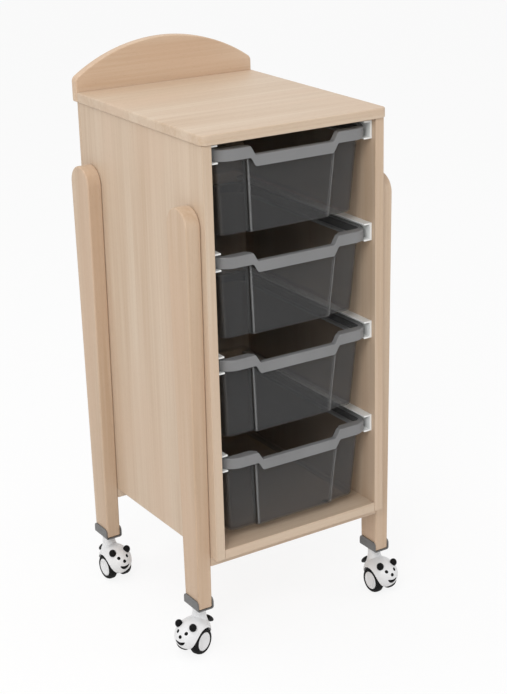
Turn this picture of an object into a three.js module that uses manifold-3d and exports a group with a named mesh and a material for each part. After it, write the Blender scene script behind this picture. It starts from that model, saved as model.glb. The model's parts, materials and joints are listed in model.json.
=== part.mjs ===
// A mobile tray storage unit for a classroom: a narrow board carcass on four tapered legs,
// four deep lipped trays sliding in plastic runners, and a twin-wheel castor under each leg.
// Millimetres, +X to the right of someone facing the trays, +Y to the back, +Z up, floor at Z = 0.
import * as THREE from "three";
import { mergeVertices } from "three/addons/utils/BufferGeometryUtils.js";
import Module from "manifold-3d";

const wasm = await Module();
wasm.setup();

// Trays
const trayCount = 4;
const trayWidth = 312;
const trayDepth = 427;
const trayHeight = 153;
const trayWall = 2;
const trayDraft = 11;
const trayFloorEase = 4;
const rimCorner = 34;
const wallCorner = 12;
const rimReach = 10.5;
const rimFrontReach = 16;
const rimLip = 20;
const rimEase = 1.5;
const gripWidth = 158;
const gripRamp = 13;
const gripDip = 15.5;
const gripSteps = 5;
const panelProud = 7;
const panelEdge = 6;

// Runners
const runnerWeb = 4;
const runnerReach = 17;
const runnerFlange = 3;
const runnerSetback = 10;
const rimSideGap = 3;
const rimHeadroom = 5.7;
const rimRest = 0.3;

// Carcass
const board = 18;
const backBoard = 8;
const seat = 0.2;
const boardEase = 1;
const topEase = 2;
const trayFrontSetback = 2.5;
const trayRearGap = 1.5;
const trayGap = 29;
const runnerTopGap = 4;
const trayBaseGap = 14;
const topSideOverhang = 4;
const topFrontOverhang = 5;
const topCorner = 12;
const upstandRise = 83;
const upstandEnd = 24;
const upstandCorner = 12;

// Legs, rails and shoes
const groundClearance = 185;
const legThickness = 28;
const legHeadWidth = 66;
const legFootWidth = 47;
const legReach = 637;
const legInset = 12.5;
const legEase = 2;
const railThickness = 18;
const railWidth = 48;
const shoePlate = 2.5;
const shoeHeight = 21;
const shoeWidth = 49;
const shoeCorner = 8;

// Castors
const castorHeight = 83;
const castorOffset = 19.5;
const wheelRadius = 25;
const wheelSpan = 49;
const wheelGap = 18;
const hubRadius = 17.5;
const hubDish = 1;
const tyreShoulder = 3;
const tyreTread = 4;
const tyreEdge = 1.5;
const axleRadius = 3;
const axleCap = 3;
const running = 0.3;
const wellGap = 1.5;
const headForward = 2;
const headRadius = 39;
const headSquash = 0.757;
const headMiddle = 38.7;
const headCrown = 28.3;
const headJaw = 28.3;
const chinHeight = 11;
const neckRadius = 12;
const earRadius = 6.6;
const earTurn = 47;
const earHeight = 59.7;
const earStand = 1.08;
const pinRadius = 4;
const pinLength = 40;
const collarRadius = 8;
const collarThickness = 1.6;
const shankRadius = 5;
const shankLength = 30;
const boreBottomGap = 2;
const pedalHeight = 52;
const pedalInset = 4.4;
const pedalBarrel = 3;
const pedalWidth = 16;
const pedalLength = 30.5;
const pedalThickness = 3;
const pedalDroop = 40;
const pedalTravel = 15;
const pedalMouth = 36;

// Headings in degrees, counter-clockwise from +X, as the castors happen to stand.
const headings = { front_left: 203, front_right: 270, rear_left: 272, rear_right: 337 };

// How finely round shapes are cut.
const wheelSteps = 20;
const headSteps = 20;
const headRings = 5;
const roundSteps = 16;
const cornerSteps = 4;
const earSteps = 10;
const tyreRings = 3;
const archSteps = 24;
const weldDistance = 1e-4;

// Places that follow from the sizes above.
const innerWidth = trayWidth + 2 * (rimSideGap + runnerWeb + seat);
const innerX = innerWidth / 2;
const outerX = innerX + board;
const runnerHeight = 2 * runnerFlange + rimRest + rimLip + rimHeadroom;
const trayPitch = trayHeight + trayGap;
const runnerToTrayFloor = runnerFlange + rimHeadroom + trayHeight;
const innerHeight = runnerTopGap + (trayCount - 1) * trayPitch + runnerToTrayFloor + trayBaseGap;
const floorTop = groundClearance + board;
const topUnderside = floorTop + innerHeight;
const topSurface = topUnderside + board;
const sideDepth = trayFrontSetback + trayDepth + trayRearGap;
const headX = castorOffset + headForward;
const noseReach = headX + headRadius;
const overallFront = Math.max(topFrontOverhang, noseReach - legInset - legHeadWidth / 2);
const overallDepth = overallFront + sideDepth + board;
const frontY = overallFront - overallDepth / 2;
const rearY = frontY + sideDepth;
const backY = rearY + backBoard;
const topHalfWidth = outerX + topSideOverhang;
const legX = outerX + seat + legThickness / 2;
const legFrontY = frontY + legInset + legHeadWidth / 2;
const legRearY = backY - legInset - legHeadWidth / 2;
const legFootZ = castorHeight + shoePlate + seat;
const legHeadZ = groundClearance + legReach - legHeadWidth / 2;
const wheelOuter = wheelSpan / 2;
const wheelInner = wheelGap / 2;
const panelHalf = gripWidth / 2 + gripRamp;

const degrees = THREE.MathUtils.degToRad;
const axisX = new THREE.Vector3(1, 0, 0);
const axisY = new THREE.Vector3(0, 1, 0);
const axisZ = new THREE.Vector3(0, 0, 1);

// Outlines are drawn flat and then stood up: sideways in the YZ plane, or facing the front in XZ.
const sideways = new THREE.Matrix4().makeBasis(axisY, axisZ, axisX);
const facing = new THREE.Matrix4().makeBasis(axisX, axisZ, axisY.clone().negate());

const beech = new THREE.MeshStandardMaterial({ color: 0xd9bc97, roughness: 0.55 });
const smoke = new THREE.MeshStandardMaterial({
  color: 0x4a4b4e,
  roughness: 0.25,
  transparent: true,
  opacity: 0.6,
});
const runnerPlastic = new THREE.MeshStandardMaterial({ color: 0xe9ebe8, roughness: 0.4 });
const shoeSteel = new THREE.MeshStandardMaterial({ color: 0x66666a, roughness: 0.5, metalness: 0.6 });
const stemSteel = new THREE.MeshStandardMaterial({ color: 0xb9bcc0, roughness: 0.3, metalness: 1 });
const whitePlastic = new THREE.MeshStandardMaterial({ color: 0xf0f0f0, roughness: 0.35 });
const blackPlastic = new THREE.MeshStandardMaterial({ color: 0x141414, roughness: 0.5 });
const blackRubber = new THREE.MeshStandardMaterial({ color: 0x18181a, roughness: 0.7 });

const unit = new THREE.Group();

function addPiece(parent, name, geometry, material) {
  const mesh = new THREE.Mesh(geometry, material);
  mesh.name = name;
  parent.add(mesh);
  return mesh;
}

// Booleans
function solidOf(geometry) {
  const bare = new THREE.BufferGeometry();
  bare.setAttribute("position", geometry.getAttribute("position"));
  bare.setIndex(geometry.index);
  const merged = mergeVertices(bare, weldDistance);
  const mesh = new wasm.Mesh({
    numProp: 3,
    vertProperties: merged.attributes.position.array,
    triVerts: new Uint32Array(merged.index.array),
  });
  return new wasm.Manifold(mesh);
}

function geometryOf(solid) {
  const mesh = solid.getMesh();
  const geometry = new THREE.BufferGeometry();
  geometry.setAttribute("position", new THREE.BufferAttribute(mesh.vertProperties, 3));
  geometry.setIndex(new THREE.BufferAttribute(mesh.triVerts, 1));
  const flat = geometry.toNonIndexed();
  flat.computeVertexNormals();
  return flat;
}

function without(body, ...cutters) {
  return cutters.reduce((left, cutter) => left.subtract(solidOf(cutter)), body);
}

// A board: an outline with a thickness, its edges eased by a small round.
function boardFrom(outline, thickness, ease) {
  const geometry = new THREE.ExtrudeGeometry(outline, {
    depth: thickness - 2 * ease,
    bevelThickness: ease,
    bevelSize: ease,
    bevelOffset: -ease,
    bevelSegments: 1,
    curveSegments: cornerSteps,
  });
  return geometry.translate(0, 0, ease);
}

function barFrom(outline, length) {
  return new THREE.ExtrudeGeometry(outline, {
    depth: length,
    bevelEnabled: false,
    curveSegments: cornerSteps,
  });
}

function rectangle(left, bottom, right, top) {
  const shape = new THREE.Shape();
  shape.moveTo(left, bottom);
  shape.lineTo(right, bottom);
  shape.lineTo(right, top);
  shape.lineTo(left, top);
  shape.closePath();
  return shape;
}

// A shape turned about Z from a half outline of (radius, height) points that runs from bottom to top.
function turned(profile, steps) {
  return new THREE.LatheGeometry(profile, steps).rotateX(Math.PI / 2);
}

function point(x, y) {
  return new THREE.Vector2(x, y);
}

// A round bar standing on Z between two heights.
function uprightBar(radius, bottom, top) {
  const bar = new THREE.CylinderGeometry(radius, radius, top - bottom, roundSteps);
  return bar.rotateX(Math.PI / 2).translate(0, 0, (bottom + top) / 2);
}

// A round bar lying along Y.
function crossBar(radius, start, end, steps) {
  const bar = new THREE.CylinderGeometry(radius, radius, end - start, steps);
  return bar.translate(0, (start + end) / 2, 0);
}

// Carcass: two sides, a floor between them, a back over their rear edges and a top over everything.
const sideOutline = rectangle(frontY, groundClearance, rearY, topUnderside - seat);
for (const [hand, x] of [["left", -outerX], ["right", innerX]]) {
  const panel = boardFrom(sideOutline, board, boardEase).applyMatrix4(sideways);
  addPiece(unit, `side_panel_${hand}`, panel, beech).position.x = x;
}

const floorHalf = innerX - seat;
const floorOutline = rectangle(-floorHalf, frontY, floorHalf, rearY);
addPiece(unit, "bottom_panel", boardFrom(floorOutline, board, boardEase), beech).position.z = groundClearance;

const backOutline = rectangle(-outerX, groundClearance, outerX, topUnderside - seat);
const backGeometry = boardFrom(backOutline, backBoard - seat, boardEase).applyMatrix4(facing);
addPiece(unit, "back_panel", backGeometry, beech).position.y = backY;

// The top's two front corners are rounded, and its rear edge meets the upstand square.
const topOutline = new THREE.Shape();
topOutline.moveTo(topHalfWidth, rearY);
topOutline.lineTo(-topHalfWidth, rearY);
topOutline.lineTo(-topHalfWidth, frontY - topFrontOverhang + topCorner);
topOutline.absarc(
  topCorner - topHalfWidth,
  frontY - topFrontOverhang + topCorner,
  topCorner,
  Math.PI,
  1.5 * Math.PI,
);
topOutline.lineTo(topHalfWidth - topCorner, frontY - topFrontOverhang);
topOutline.absarc(
  topHalfWidth - topCorner,
  frontY - topFrontOverhang + topCorner,
  topCorner,
  1.5 * Math.PI,
  2 * Math.PI,
);
topOutline.closePath();
addPiece(unit, "top_panel", boardFrom(topOutline, board, topEase), beech).position.z = topUnderside;

// The upstand is an arched board behind the top: straight ends, small round shoulders, one wide arc.
const archSagitta = upstandRise - upstandEnd;
const archRadius = (topHalfWidth ** 2 + archSagitta ** 2) / (2 * archSagitta);
const archCentreZ = topSurface + upstandRise - archRadius;
const shoulderX = topHalfWidth - upstandCorner;
const shoulderZ = archCentreZ + Math.sqrt((archRadius - upstandCorner) ** 2 - shoulderX ** 2);
const shoulderAngle = Math.atan2(shoulderZ - archCentreZ, shoulderX);
const upstandOutline = new THREE.Shape();
upstandOutline.moveTo(-topHalfWidth, topUnderside);
upstandOutline.lineTo(topHalfWidth, topUnderside);
upstandOutline.lineTo(topHalfWidth, shoulderZ);
for (let i = 1; i < cornerSteps; i++) {
  const angle = (shoulderAngle * i) / cornerSteps;
  upstandOutline.lineTo(
    shoulderX + upstandCorner * Math.cos(angle),
    shoulderZ + upstandCorner * Math.sin(angle),
  );
}
for (let i = 0; i <= archSteps; i++) {
  const angle = shoulderAngle + ((Math.PI - 2 * shoulderAngle) * i) / archSteps;
  upstandOutline.lineTo(archRadius * Math.cos(angle), archCentreZ + archRadius * Math.sin(angle));
}
for (let i = cornerSteps - 1; i >= 0; i--) {
  const angle = (shoulderAngle * i) / cornerSteps;
  upstandOutline.lineTo(
    -shoulderX - upstandCorner * Math.cos(angle),
    shoulderZ + upstandCorner * Math.sin(angle),
  );
}
upstandOutline.closePath();
const upstandGeometry = boardFrom(upstandOutline, board - seat, topEase).applyMatrix4(facing);
addPiece(unit, "back_upstand", upstandGeometry, beech).position.y = rearY + board;

// Legs: boards with a half-round head, tapering to the foot, drilled from below for the castor.
const legCorners = [
  ["front_left", -legX, legFrontY],
  ["front_right", legX, legFrontY],
  ["rear_left", -legX, legRearY],
  ["rear_right", legX, legRearY],
];

function legOutline() {
  const shape = new THREE.Shape();
  shape.moveTo(-legFootWidth / 2, legFootZ);
  shape.lineTo(legFootWidth / 2, legFootZ);
  shape.lineTo(legHeadWidth / 2, legHeadZ);
  shape.absarc(0, legHeadZ, legHeadWidth / 2, 0, Math.PI);
  shape.closePath();
  return shape;
}

const legBoard = boardFrom(legOutline(), legThickness, legEase).applyMatrix4(sideways);
legBoard.translate(-legThickness / 2, 0, 0);
const shankTop = castorHeight + shoePlate + shankLength;
const legBore = uprightBar(shankRadius + running, castorHeight, shankTop + boreBottomGap);
const legGeometry = geometryOf(without(solidOf(legBoard), legBore));
for (const [corner, x, y] of legCorners) {
  addPiece(unit, `leg_${corner}`, legGeometry, beech).position.set(x, y, 0);
}

// Cross rails lie flat under the carcass and tie each pair of legs together.
const railOutline = rectangle(-outerX, -railWidth / 2, outerX, railWidth / 2);
const railGeometry = boardFrom(railOutline, railThickness, boardEase);
for (const [end, y] of [["front", legFrontY], ["rear", legRearY]]) {
  addPiece(unit, `cross_rail_${end}`, railGeometry, beech).position.set(
    0,
    y,
    groundClearance - seat - railThickness,
  );
}

// Shoes: folded steel straps that cup each leg's foot, with rounded upper corners.
const shoeInner = legThickness / 2 + seat;
const shoeOuter = shoeInner + shoePlate;
const shoeSection = new THREE.Shape();
shoeSection.moveTo(-shoeOuter, castorHeight);
shoeSection.lineTo(shoeOuter, castorHeight);
shoeSection.lineTo(shoeOuter, castorHeight + shoeHeight);
shoeSection.lineTo(shoeInner, castorHeight + shoeHeight);
shoeSection.lineTo(shoeInner, castorHeight + shoePlate);
shoeSection.lineTo(-shoeInner, castorHeight + shoePlate);
shoeSection.lineTo(-shoeInner, castorHeight + shoeHeight);
shoeSection.lineTo(-shoeOuter, castorHeight + shoeHeight);
shoeSection.closePath();
const shoeStrip = barFrom(shoeSection, shoeWidth).applyMatrix4(facing).translate(0, shoeWidth / 2, 0);

const shoeFace = new THREE.Shape();
shoeFace.moveTo(-shoeWidth / 2, castorHeight);
shoeFace.lineTo(shoeWidth / 2, castorHeight);
shoeFace.lineTo(shoeWidth / 2, castorHeight + shoeHeight - shoeCorner);
shoeFace.absarc(
  shoeWidth / 2 - shoeCorner,
  castorHeight + shoeHeight - shoeCorner,
  shoeCorner,
  0,
  Math.PI / 2,
);
shoeFace.absarc(
  shoeCorner - shoeWidth / 2,
  castorHeight + shoeHeight - shoeCorner,
  shoeCorner,
  Math.PI / 2,
  Math.PI,
);
shoeFace.closePath();
const shoeBlank = barFrom(shoeFace, 2 * shoeOuter).applyMatrix4(sideways).translate(-shoeOuter, 0, 0);
const shoeHole = uprightBar(shankRadius + running, castorHeight - shoePlate, legFootZ + shoePlate);
const shoeGeometry = geometryOf(
  without(solidOf(shoeStrip).intersect(solidOf(shoeBlank)), shoeHole),
);
for (const [corner, x, y] of legCorners) {
  addPiece(unit, `shoe_${corner}`, shoeGeometry, shoeSteel).position.set(x, y, 0);
}

// Runners: C-shaped plastic channels on the sides, one pair for each tray.
function runnerSection(side) {
  const back = side * (innerX - seat);
  const web = back - side * runnerWeb;
  const tip = side * (innerX - runnerReach);
  const shape = new THREE.Shape();
  shape.moveTo(back, 0);
  shape.lineTo(tip, 0);
  shape.lineTo(tip, runnerFlange);
  shape.lineTo(web, runnerFlange);
  shape.lineTo(web, runnerHeight - runnerFlange);
  shape.lineTo(tip, runnerHeight - runnerFlange);
  shape.lineTo(tip, runnerHeight);
  shape.lineTo(back, runnerHeight);
  shape.closePath();
  return shape;
}

// Trays: one thin-walled moulding each. A stack of plan outlines runs up the outside, over the rim,
// down inside the lip's fold and down the inner wall, and is skinned into one closed shell.
// A point is (x, y) with its share of the grip dip, which only the front edge has.
function cornerArc(points, x, y, radius, start) {
  for (let i = 0; i <= cornerSteps; i++) {
    const angle = start + (Math.PI / 2) * (i / cornerSteps);
    points.push({ x: x + radius * Math.cos(angle), y: y + radius * Math.sin(angle), dip: 0 });
  }
}

function trayOutline({ inset, frontInset, half, proud, corner }) {
  const side = trayWidth / 2 - inset;
  const rear = trayDepth - inset;
  const points = [];
  for (let i = 0; i <= gripSteps; i++) {
    const along = i / gripSteps;
    points.push({
      x: half - gripRamp * (1 - along),
      y: frontInset - proud,
      dip: 1 - THREE.MathUtils.smoothstep(along, 0, 1),
    });
  }
  points.push({ x: half + panelEdge, y: frontInset, dip: 0 });
  cornerArc(points, side - corner, frontInset + corner, corner, -Math.PI / 2);
  cornerArc(points, side - corner, rear - corner, corner, 0);
  const mirrored = points.map((p) => ({ ...p, x: -p.x }));
  return [...points, ...mirrored.reverse()];
}

function wallLevel(z, skin, ease, dip) {
  const lean = trayDraft * (1 - (z - skin) / trayHeight) + skin + ease;
  const outline = trayOutline({
    inset: rimReach + lean,
    frontInset: rimFrontReach + lean,
    half: panelHalf - lean,
    proud: panelProud,
    corner: wallCorner - skin,
  });
  return { z, dip, outline };
}

function rimLevel(z, inset) {
  const outline = trayOutline({
    inset,
    frontInset: inset,
    half: panelHalf,
    proud: 0,
    corner: rimCorner - inset,
  });
  return { z, dip: gripDip, outline };
}

function skinned(levels) {
  const count = levels[0].outline.length;
  const positions = levels.flatMap(({ z, dip, outline }) =>
    outline.flatMap((p) => [p.x, p.y, z - dip * p.dip]),
  );
  const indices = [];
  for (let level = 0; level + 1 < levels.length; level++) {
    for (let i = 0; i < count; i++) {
      const next = (i + 1) % count;
      const a = level * count + i;
      const b = level * count + next;
      indices.push(a, b, b + count, a, b + count, a + count);
    }
  }
  const plan = (level) => level.outline.map((p) => point(p.x, p.y));
  const last = (levels.length - 1) * count;
  for (const [a, b, c] of THREE.ShapeUtils.triangulateShape(plan(levels[0]), [])) {
    indices.push(a, c, b);
  }
  for (const [a, b, c] of THREE.ShapeUtils.triangulateShape(plan(levels.at(-1)), [])) {
    indices.push(last + a, last + b, last + c);
  }
  const geometry = new THREE.BufferGeometry();
  geometry.setAttribute("position", new THREE.Float32BufferAttribute(positions, 3));
  geometry.setIndex(indices);
  const flat = geometry.toNonIndexed();
  flat.computeVertexNormals();
  return flat;
}

const trayGeometry = skinned([
  wallLevel(0, 0, trayFloorEase, 0),
  wallLevel(trayFloorEase, 0, 0, 0),
  wallLevel(trayHeight - trayWall, 0, 0, gripDip),
  rimLevel(trayHeight - trayWall, trayWall),
  rimLevel(trayHeight - rimLip, trayWall),
  rimLevel(trayHeight - rimLip, 0),
  rimLevel(trayHeight - rimEase, 0),
  rimLevel(trayHeight, rimEase),
  wallLevel(trayHeight, trayWall, 0, gripDip),
  wallLevel(trayFloorEase + trayWall, trayWall, 0, 0),
  wallLevel(trayWall, trayWall, trayFloorEase, 0),
]);

const runnerLength = sideDepth - runnerSetback;
for (let i = 0; i < trayCount; i++) {
  const runnerTop = topUnderside - runnerTopGap - i * trayPitch;
  for (const [hand, side] of [["left", -1], ["right", 1]]) {
    const runner = barFrom(runnerSection(side), runnerLength).applyMatrix4(facing);
    addPiece(unit, `runner_${i + 1}_${hand}`, runner, runnerPlastic).position.set(
      0,
      rearY,
      runnerTop - runnerHeight,
    );
  }
  addPiece(unit, `tray_${i + 1}`, trayGeometry, smoke).position.set(
    0,
    frontY + trayFrontSetback,
    runnerTop - runnerToTrayFloor,
  );
}

// Castors, each in its own frame: +X is the way its face looks, and the swivel axis is Z.
const collarTop = castorHeight - seat;
const collarBottom = collarTop - collarThickness;
const neckTop = collarBottom - running;
const pinBottom = neckTop - pinLength;

// The stem: a swivel pin below a collar, and a shank that goes up through the shoe into the leg.
const stemGeometry = turned(
  [
    point(0, pinBottom),
    point(pinRadius, pinBottom),
    point(pinRadius, collarBottom),
    point(collarRadius, collarBottom),
    point(collarRadius, collarTop),
    point(shankRadius, collarTop),
    point(shankRadius, shankTop),
    point(0, shankTop),
  ],
  roundSteps,
);

// The hood is a round animal's head: an egg of two half ellipses, flat under the chin, with a neck
// for the stem, two ball ears, a well for each wheel and a pocket for the brake pedal at the back.
function headProfile() {
  const profile = [point(0, chinHeight)];
  const jawStart = -Math.asin((headMiddle - chinHeight) / headJaw);
  for (let i = 0; i < headRings; i++) {
    const angle = jawStart * (1 - i / headRings);
    profile.push(point(headRadius * Math.cos(angle), headMiddle + headJaw * Math.sin(angle)));
  }
  for (let i = 0; i < headRings; i++) {
    const angle = (Math.PI / 2) * (i / headRings);
    profile.push(point(headRadius * Math.cos(angle), headMiddle + headCrown * Math.sin(angle)));
  }
  profile.push(point(0, headMiddle + headCrown));
  return profile;
}

function headRadiusAt(z) {
  return headRadius * Math.sqrt(1 - ((z - headMiddle) / headCrown) ** 2);
}

// The pedal: a barrel across the castor with a tab that droops behind it.
const pedalX = headX - headRadiusAt(pedalHeight) + pedalInset;

function pedalOutline() {
  const shape = new THREE.Shape();
  const tipRadius = pedalThickness / 2;
  const rootAngle = Math.asin(tipRadius / pedalBarrel);
  shape.absarc(0, 0, pedalBarrel, rootAngle, 2 * Math.PI - rootAngle);
  shape.absarc(pedalLength - tipRadius, 0, tipRadius, -Math.PI / 2, Math.PI / 2);
  shape.closePath();
  return shape;
}

function onPedalPivot(geometry, width) {
  geometry.applyMatrix4(facing).translate(0, width / 2, 0);
  geometry.rotateY(Math.PI - degrees(pedalDroop));
  return geometry.translate(pedalX, 0, pedalHeight);
}

function pedalRoom() {
  const width = pedalWidth + 2 * running;
  const reach = 2 * pedalLength;
  const high = degrees(pedalMouth);
  const low = degrees(pedalMouth + pedalTravel);
  const mouth = new THREE.Shape();
  mouth.moveTo(0, 0);
  mouth.lineTo(reach * Math.cos(high), -reach * Math.sin(high));
  mouth.lineTo(reach * Math.cos(low), reach * Math.sin(low));
  mouth.closePath();
  const barrel = crossBar(pedalBarrel + running, -width / 2, width / 2, roundSteps);
  return [onPedalPivot(barFrom(mouth, width), width), barrel.translate(pedalX, 0, pedalHeight)];
}

function hoodGeometry() {
  const head = turned(headProfile(), headSteps);
  head.scale(1, headSquash, 1).translate(headX, 0, 0);
  let hood = solidOf(head).add(solidOf(uprightBar(neckRadius, headMiddle, neckTop)));
  const wellRadius = wheelRadius + wellGap;
  const wellInner = wheelInner - running;
  const cutters = [crossBar(axleRadius + running, -wheelOuter, wheelOuter, roundSteps)];
  for (const side of [-1, 1]) {
    const ends = [side * wellInner, side * (wellInner + wheelSpan)].sort((a, b) => a - b);
    cutters.push(crossBar(wellRadius, ...ends, wheelSteps));
    const turn = degrees(earTurn);
    const reach = earStand * headRadiusAt(earHeight);
    const ear = new THREE.SphereGeometry(earRadius, earSteps, earSteps / 2);
    ear.translate(
      headX + reach * Math.cos(turn),
      side * reach * headSquash * Math.sin(turn),
      headMiddle + earStand * (earHeight - headMiddle),
    );
    hood = hood.add(solidOf(ear));
  }
  cutters.forEach((cutter) => cutter.translate(castorOffset, 0, wheelRadius));
  const pinBore = uprightBar(pinRadius + running, pinBottom - running, castorHeight);
  return geometryOf(without(hood, ...cutters, pinBore, ...pedalRoom()));
}

const hood = hoodGeometry();
const pedal = onPedalPivot(barFrom(pedalOutline(), pedalWidth), pedalWidth);
const axleHalf = wheelOuter - axleCap;
const axle = crossBar(axleRadius, -axleHalf, axleHalf, roundSteps);
axle.translate(castorOffset, 0, wheelRadius);

// A wheel: a hub with a blind bore for the axle and a slightly dished face, and a tyre around it.
const hubGeometry = turned(
  [
    point(axleRadius + running, wheelInner),
    point(hubRadius, wheelInner),
    point(hubRadius, wheelOuter - hubDish),
    point(hubRadius - tyreShoulder, wheelOuter),
    point(0, wheelOuter - hubDish),
    point(0, axleHalf + running),
    point(axleRadius + running, axleHalf + running),
    point(axleRadius + running, wheelInner),
  ],
  wheelSteps,
);
const tyreBore = hubRadius + seat;

// The tyre's tread is near the middle of the castor, and its outer side rounds off to the hub's rim.
function tyreProfile() {
  const treadEnd = wheelInner + tyreShoulder + tyreTread;
  const edgeRadius = tyreBore + tyreEdge;
  const profile = [
    point(tyreBore, wheelInner),
    point(wheelRadius - tyreShoulder, wheelInner),
    point(wheelRadius, wheelInner + tyreShoulder),
  ];
  for (let i = 0; i <= tyreRings; i++) {
    const angle = (Math.PI / 2) * (i / tyreRings);
    profile.push(
      point(
        edgeRadius + (wheelRadius - edgeRadius) * Math.cos(angle),
        treadEnd + (wheelOuter - treadEnd) * Math.sin(angle),
      ),
    );
  }
  return [...profile, point(tyreBore, wheelOuter), point(tyreBore, wheelInner)];
}

const tyreGeometry = turned(tyreProfile(), wheelSteps);

for (const [corner, x, y] of legCorners) {
  const castor = new THREE.Group();
  castor.position.set(x, y, 0);
  castor.rotation.z = degrees(headings[corner]);
  unit.add(castor);
  addPiece(castor, `castor_stem_${corner}`, stemGeometry, stemSteel);
  addPiece(castor, `castor_hood_${corner}`, hood, whitePlastic);
  addPiece(castor, `castor_axle_${corner}`, axle, stemSteel);
  addPiece(castor, `brake_pedal_${corner}`, pedal, blackPlastic);
  for (const [hand, turn] of [["left", -Math.PI / 2], ["right", Math.PI / 2]]) {
    const wheel = new THREE.Group();
    wheel.position.set(castorOffset, 0, wheelRadius);
    wheel.rotation.x = turn;
    castor.add(wheel);
    addPiece(wheel, `wheel_hub_${corner}_${hand}`, hubGeometry, whitePlastic);
    addPiece(wheel, `tyre_${corner}_${hand}`, tyreGeometry, blackRubber);
  }
}

export default unit;
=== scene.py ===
# Looks for a mobile classroom tray unit: a beech board carcass on four legs, smoked trays in white
# runners, and a panda-faced castor under each leg. Everything is in metres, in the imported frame.
import json
import math

import bmesh
import bpy
from mathutils import Matrix, Vector


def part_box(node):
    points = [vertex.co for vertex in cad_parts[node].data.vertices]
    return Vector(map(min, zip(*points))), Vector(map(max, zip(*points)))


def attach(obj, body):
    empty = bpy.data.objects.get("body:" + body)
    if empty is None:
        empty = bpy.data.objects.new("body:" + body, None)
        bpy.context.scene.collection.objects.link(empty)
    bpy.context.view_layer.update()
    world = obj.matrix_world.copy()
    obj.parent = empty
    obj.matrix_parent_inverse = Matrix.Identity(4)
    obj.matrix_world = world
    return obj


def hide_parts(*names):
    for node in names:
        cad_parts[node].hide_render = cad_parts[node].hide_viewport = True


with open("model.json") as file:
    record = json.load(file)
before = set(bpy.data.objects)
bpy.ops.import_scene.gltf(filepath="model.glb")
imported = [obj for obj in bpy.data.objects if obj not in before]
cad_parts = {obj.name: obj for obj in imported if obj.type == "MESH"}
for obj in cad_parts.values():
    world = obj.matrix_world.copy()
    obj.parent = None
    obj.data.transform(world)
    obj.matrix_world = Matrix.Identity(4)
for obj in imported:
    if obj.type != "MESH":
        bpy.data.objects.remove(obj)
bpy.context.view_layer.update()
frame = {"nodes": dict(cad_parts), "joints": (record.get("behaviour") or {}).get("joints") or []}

# Camera: the photograph's own viewpoint, to the front left of the unit and above its top, through a
# long lens. Its focal length and centre are in pixels of the photograph.
scene = bpy.context.scene
photo_width, photo_height = 507, 694
focal_pixels, centre_across, centre_down = 1611.4, 330.4, 363.3
camera_place = Vector((-1.4541, -2.4038, 1.5206))
turn, tilt, roll = math.radians(-34.785), math.radians(20.901), math.radians(-0.479)

lens = bpy.data.cameras.new("camera")
lens.lens = lens.sensor_width * focal_pixels / photo_height
lens.shift_x = (photo_width / 2 - centre_across) / photo_height
lens.shift_y = (centre_down - photo_height / 2) / photo_height
back = Vector((math.sin(turn) * math.cos(tilt), -math.cos(turn) * math.cos(tilt), math.sin(tilt)))
level = Vector((math.cos(turn), math.sin(turn), 0))
right = math.cos(roll) * level + math.sin(roll) * back.cross(level)
camera = bpy.data.objects.new("camera", lens)
scene.collection.objects.link(camera)
camera_axes = Matrix((right, back.cross(right), back)).transposed().to_4x4()
camera.matrix_world = Matrix.Translation(camera_place) @ camera_axes
scene.camera = camera

# Carcass: two sides, a floor, a back, a top and an arched back board, all of beech-decor board with
# taped and eased edges. Hidden dowels hold them, and the back and the arch are screwed on from behind.
mm = 0.001
board_ease = 1.2 * mm
top_ease = 2.5 * mm
ease_angle = math.radians(35)
top_corner = 12 * mm
arch_end = 24 * mm
arch_corner = 12 * mm
arch_steps = 48
arch_tone = (1.03, 0.965, 0.91)
corner_steps = 10
grain_scatter = 7.3


class Shade:
    """One socket of a node tree. Sums of sockets and numbers add the Math nodes for them."""

    def __init__(self, tree, socket=None):
        self.tree = tree
        self.socket = socket

    def node(self, kind, settings, sockets, out=0):
        """Adds a node, sets it up, feeds its sockets and gives the output that is asked for."""
        made = self.tree.nodes.new(kind)
        for name, value in settings.items():
            if name == "stops":
                ramp = made.color_ramp.elements
                ramp.remove(ramp[1])
                ramp[0].position, ramp[0].color = value[0]
                for position, colour in value[1:]:
                    ramp.new(position).color = colour
            else:
                setattr(made, name, value)
        for name, value in sockets.items():
            if isinstance(value, Shade):
                self.tree.links.new(value.socket, made.inputs[name])
            else:
                made.inputs[name].default_value = value
        return Shade(self.tree, made.outputs[out]) if made.outputs else None

    def sum(self, operation, first, second):
        return self.node("ShaderNodeMath", {"operation": operation}, {0: first, 1: second})

    def __add__(self, other):
        return self.sum("ADD", self, other)

    def __radd__(self, other):
        return self.sum("ADD", other, self)

    def __sub__(self, other):
        return self.sum("SUBTRACT", self, other)

    def __rsub__(self, other):
        return self.sum("SUBTRACT", other, self)

    def __mul__(self, other):
        return self.sum("MULTIPLY", self, other)


def new_finish(name):
    """An empty material, and the handle that adds nodes to it."""
    finish = bpy.data.materials.new(name)
    finish.use_nodes = True
    finish.node_tree.nodes.clear()
    return finish, Shade(finish.node_tree)


def skin(shade, sockets):
    """Ends a finish in its surface."""
    surface = shade.node("ShaderNodeBsdfPrincipled", {}, sockets)
    shade.node("ShaderNodeOutputMaterial", {}, {"Surface": surface})


def object_point(shade):
    """Where the point that is shaded lies on the object."""
    return shade.node("ShaderNodeTexCoord", {}, {}, "Object")


def noise(shade, where, stretch, detail):
    """Noise drawn out along an axis: stretch is how many grains there are to the metre each way."""
    drawn = shade.node("ShaderNodeVectorMath", {"operation": "MULTIPLY"}, {0: where, 1: stretch})
    return shade.node("ShaderNodeTexNoise", {}, {"Vector": drawn, "Scale": 1, "Detail": detail})


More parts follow.
